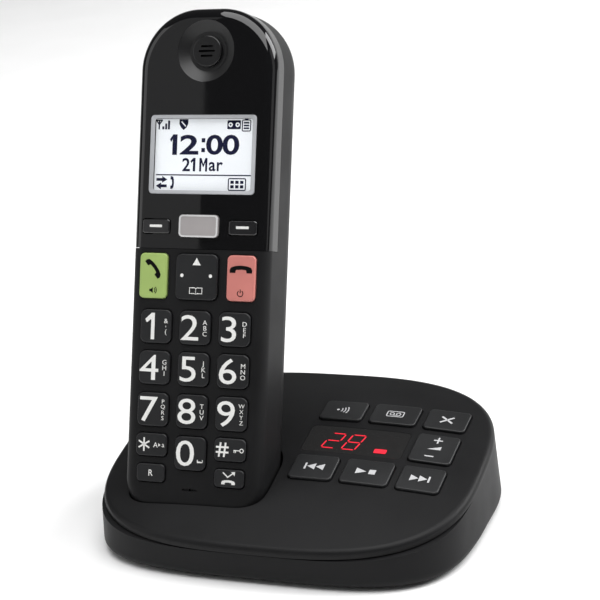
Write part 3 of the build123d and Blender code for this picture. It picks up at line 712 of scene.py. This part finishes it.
# ---- display -------------------------------------------------------------------------------------------
def bevelled_ring(name, half_x, half_y, inner_x, inner_y, corner, low, high, place, body, material):
    """Closed frame whose top slopes down to its inner edge."""
    inner_corner = max(0.3, corner - 0.5)
    loops = (
        (half_x, half_y, corner, low),
        (half_x, half_y, corner, high),
        (half_x - 0.25, half_y - 0.25, corner, high + 0.08),
        (inner_x, inner_y, inner_corner, high - 0.18),
        (inner_x, inner_y, inner_corner, low),
    )
    vertices, faces = [], []
    for x, y, r, z in loops:
        vertices += [place @ Vector((px, py, z)) for px, py in rounded(0, 0, 2 * x, 2 * y, r, 5)]
    count = len(vertices) // len(loops)
    for ring in range(len(loops)):
        after = (ring + 1) % len(loops)
        for i in range(count):
            j = (i + 1) % count
            faces.append((ring * count + i, ring * count + j, after * count + j, after * count + i))
    piece = new_object(name, vertices, faces, material)
    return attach(piece, body)


WINDOW_W, WINDOW_H, WINDOW_Y = 39.0, 26.7, 115.5
WINDOW = HANDSET @ Matrix.Translation((0, WINDOW_Y, 0))
SCREEN_Z = -1.62
INK_LOW = SCREEN_Z + 0.01
CLOCK_Y, DATE_Y = 3.4, -3.3


def lcd_mark(name, shapes, x=0.0, y=0.0, scale=1.0):
    """Dark mark on the lit screen, placed from the window's middle."""
    mark("lcd_" + name, placed(shapes, x, y, scale), WINDOW, "handset", LCD_INK, low=INK_LOW)


def lcd_text(name, text, x, y, height, weight, width):
    """Dark digit or letter on the lit screen."""
    lettering("lcd_" + name, text, x, y, height, WINDOW, "handset", LCD_INK, weight, width, INK_LOW)


def screen():
    """Lit screen behind the window and the pale bezel round it."""
    lit = rounded(0, 0, WINDOW_W - 2.6, WINDOW_H - 2.6, 0.6)
    mark("lcd_screen", [lit], WINDOW, "handset", LCD_WHITE, low=SCREEN_Z - 0.2, thick=0.2)
    bevelled_ring("window_bezel", WINDOW_W / 2 - 0.05, WINDOW_H / 2 - 0.05, WINDOW_W / 2 - 1.6,
                  WINDOW_H / 2 - 1.3, 1.4, -0.34, -0.12, WINDOW, "handset", BEZEL_GREY)


def status_icons():
    """Row of icons along the top of the screen."""
    lcd_mark("antenna", antenna_icon(), -14.3, 10.1, 1.1)
    lcd_mark("shield", shield_icon(), -7.9, 10.2, 1.25)
    lcd_mark("message", message_icon(), 10.6, 10.1, 1.35)
    lcd_mark("battery", battery_icon(), 15.1, 9.9, 1.3)


def clock():
    """Time of day in large bold figures."""
    lcd_mark("clock_one", [figure_one(-10.1, CLOCK_Y, 6.9, 0.25)])
    for name, text, x, width in (("two", "2", -5.6, 1.6), ("hour", "0", 3.7, 1.4), ("minute", "0", 9.7, 1.4)):
        lcd_text("clock_" + name, text, x, CLOCK_Y, 6.6, 0.2, width)
    lcd_mark("clock_dots", [rect(-0.4, y, 1.3, 1.4) for y in (1.6, 4.9)])


def capital_m(x, y):
    """Letter M of the date."""
    left = [(0.0, -2.25), (0.72, -2.25), (0.72, 0.75), (1.45, -0.95)]
    right = [(2.9 - px, py) for px, py in left[-2::-1]]
    top = [(2.9, 2.25), (2.18, 2.25), (1.45, 0.15), (0.72, 2.25), (0.0, 2.25)]
    return moved(left + right + top, x, y)


def date():
    """Day and month under the clock."""
    lcd_text("date_two", "2", -6.5, DATE_Y, 4.5, 0.1, 1.0)
    lcd_mark("date_one", [figure_one(-3.1, DATE_Y, 4.5, 0.19)])
    lcd_mark("date_m", [capital_m(-1.6, DATE_Y)])
    lcd_text("date_a", "a", 3.1, DATE_Y - 0.6, 4.5, 0.1, 0.95)
    lcd_text("date_r", "r", 5.7, DATE_Y - 0.6, 4.5, 0.1, 0.95)


def display():
    """Lit screen with its icons, clock, date and the soft keys' labels."""
    screen()
    status_icons()
    clock()
    date()
    lcd_mark("rule", [rect(0, -6.8, WINDOW_W - 3.8, 0.4)])
    lcd_mark("redial", redial_icon(), -14.0, -9.4, 1.35)
    lcd_mark("menu", menu_icon(), 12.4, -9.8, 1.35)


# ---- base panel -----------------------------------------------------------------------------------------
UPWARD = Vector((0, -0.2, 0.98)).normalized()
SEGMENTS = {
    "a": ((0, 1), (1, 1)), "b": ((1, 1), (1, 0)), "c": ((1, 0), (1, -1)), "d": ((0, -1), (1, -1)),
    "e": ((0, 0), (0, -1)), "f": ((0, 1), (0, 0)), "g": ((0, 0), (1, 0)),
}
LIT = {"2": "abged", "8": "abcdefg"}


def segment_shape(start, end, wide, tall, slant):
    """One bar of a seven-segment digit with pointed ends."""
    def point(p):
        return Vector((p[0] * wide + p[1] * tall * slant, p[1] * tall))

    a, b = point(start), point(end)
    along = (b - a).normalized()
    side = Vector((-along.y, along.x)) * 0.24
    a, b = a + along * 0.22, b - along * 0.22
    tip = along * 0.4
    points = [a, a + tip + side, b - tip + side, b, b - tip - side, a + tip - side]
    return [(p.x, p.y) for p in points]


def segment_digits():
    """Two red digits behind the smoked lens and the lit bar beside them."""
    place = top_frame("base_display_lens", UPWARD)
    for index, (digit, x) in enumerate((("2", -10.2), ("8", -2.9))):
        shapes = [segment_shape(*SEGMENTS[name], 4.75, 4.1, 0.24) for name in LIT[digit]]
        mark(f"segment_digit_{index}", placed(shapes, x, -0.75), place, "base", SEGMENT_RED, thick=0.04)
    bar = rounded(10.0, -4.3, 4.4, 2.2, 0.4, 3)
    mark("segment_bar", [bar], place, "base", SEGMENT_RED, thick=0.04)


def panel_marks():
    """Pale icons on the base's keys."""
    icons = {
        "locator_key": (waves_icon(), 1.35),
        "message_key": (tape_icon(), 1.2),
        "erase_key": (cross_icon(), 1.65),
        "skip_back_key": (skip_icon(-1), 1.95),
        "play_stop_key": (play_stop_icon(), 1.75),
        "skip_forward_key": (skip_icon(1), 1.9),
    }
    for node, (shapes, size) in icons.items():
        mark("icon_" + node, placed(shapes, 0, 0, size), top_frame(node, UPWARD), BODY_OF[node], INK_PALE)
    place = top_frame("volume_key", UPWARD)
    body = BODY_OF["volume_key"]
    plus = [rect(0.3, 4.3, 3.1, 0.55), rect(0.3, 5.24, 0.55, 1.3), rect(0.3, 3.36, 0.55, 1.3)]
    mark("volume_plus", plus, place, body, INK_PALE)
    mark("volume_wedge", [[(-2.3, -0.7), (2.3, -0.7), (2.3, 1.1)]], place, body, INK_PALE)
    mark("volume_minus", [rect(-0.6, -4.4, 3.1, 0.55)], place, body, INK_PALE)


# ---- stage ------------------------------------------------------------------------------------------------
def stage_floor():
    """Plain pale floor that curves up into a backdrop."""
    material, tree, shader, place = node_material("floor_paper", (0.9, 0.9, 0.9), 0.9, 0.1)
    tone = two_tone(tree, spread(tree, noise(tree, place, 60.0), 0, 1), (0.9, 0.9, 0.9), (0.92, 0.92, 0.92))
    tree.links.new(tone, shader.inputs["Base Color"])
    profile = [(-3.0, 0.0), (1.6, 0.0)]
    profile += [(1.6 + 0.8 * math.sin(a), 0.8 - 0.8 * math.cos(a)) for a in
                [math.radians(7.5 * i) for i in range(1, 13)]]
    profile += [(2.4, 1.2)]
    vertices, faces = [], []
    for y, z in profile:
        vertices += [(-4.5, y, z), (4.5, y, z)]
    for i in range(len(profile) - 1):
        faces.append((2 * i, 2 * i + 1, 2 * i + 3, 2 * i + 2))
    floor = new_object("studio_floor", vertices, faces, material, smooth=True)


def area_light(name, place, target, width, height, radiance, up=(0, 0, 1)):
    """Soft rectangular light of a given brightness looking at a point."""
    data = bpy.data.lights.new(name, "AREA")
    data.shape = "RECTANGLE"
    data.size, data.size_y = width, height
    data.energy = radiance * math.pi * width * height
    lamp = bpy.data.objects.new(name, data)
    bpy.context.scene.collection.objects.link(lamp)
    back = (Vector(place) - Vector(target)).normalized()
    side = Vector(up).cross(back).normalized()
    turn = Matrix((side, back.cross(side), back)).transposed().to_4x4()
    turn.translation = Vector(place)
    lamp.matrix_world = turn
    return lamp


def panel_light():
    """Dim tall softbox whose edge is mirrored along the middle of the glossy panel."""
    middle = HANDSET @ Vector((0, 120, 0))
    seen = (CAMERA_PLACE - middle).normalized()
    mirrored = 2 * seen.dot(HANDSET_OUT) * HANDSET_OUT - seen
    aside = RIGHT - RIGHT.dot(mirrored) * mirrored
    place = middle + mirrored * 1.5 - aside.normalized() * 0.3
    target = middle - aside.normalized() * 0.3
    area_light("light_panel", place, target, 0.6, 1.3, 0.42, HANDSET_UP)


def lights():
    """Overhead, back, left and right soft sources in a dim room."""
    world = bpy.data.worlds.new("studio")
    world.use_nodes = True
    world.node_tree.nodes["Background"].inputs["Color"].default_value = (1, 1, 1, 1)
    world.node_tree.nodes["Background"].inputs["Strength"].default_value = 0.1
    bpy.context.scene.world = world
    area_light("light_top", (0.2, -0.15, 1.4), (0.1, 0.0, 0), 1.5, 1.3, 4.2, (0, 1, 0))
    area_light("light_back", (1.6, 1.1, 1.3), (-0.4, 1.1, 0), 1.6, 1.2, 8.0)
    area_light("light_left", (-1.1, -0.5, 0.6), (0, 0, 0.08), 0.7, 0.9, 1.2)
    area_light("light_right", (1.2, -0.1, 0.6), (0, 0, 0.05), 0.5, 0.9, 0.6)
    panel_light()


def camera():
    """Camera at the fitted place, rolled as the picture is."""
    azimuth, elevation, roll = (math.radians(v) for v in (CAMERA_AZIMUTH, CAMERA_ELEVATION, CAMERA_ROLL))
    back = Vector((math.sin(azimuth) * math.cos(elevation), -math.cos(azimuth) * math.cos(elevation),
                   math.sin(elevation)))
    level = Vector((0, 0, 1)).cross(back).normalized()
    up = back.cross(level)
    right = level * math.cos(roll) + up * math.sin(roll)
    up = back.cross(right)
    data = bpy.data.cameras.new("camera")
    data.lens = CAMERA_LENS
    data.sensor_width = 36
    data.clip_start = 0.01
    view = bpy.data.objects.new("camera", data)
    bpy.context.scene.collection.objects.link(view)
    turn = Matrix((right, up, back)).transposed().to_4x4()
    turn.translation = CAMERA_PLACE
    view.matrix_world = turn
    bpy.context.scene.camera = view


def handset_marks():
    """Everything printed on the handset."""
    for node, (digit, letters) in DIGIT_LETTERS.items():
        number_marks(node, digit, letters)
    star_marks()
    hash_marks()
    call_marks()
    navigator_marks()
    soft_marks()


dress_nodes()
handset_marks()
display()
segment_digits()
panel_marks()
stage_floor()
lights()
camera()
bpy.context.scene.view_settings.view_transform = "Standard"
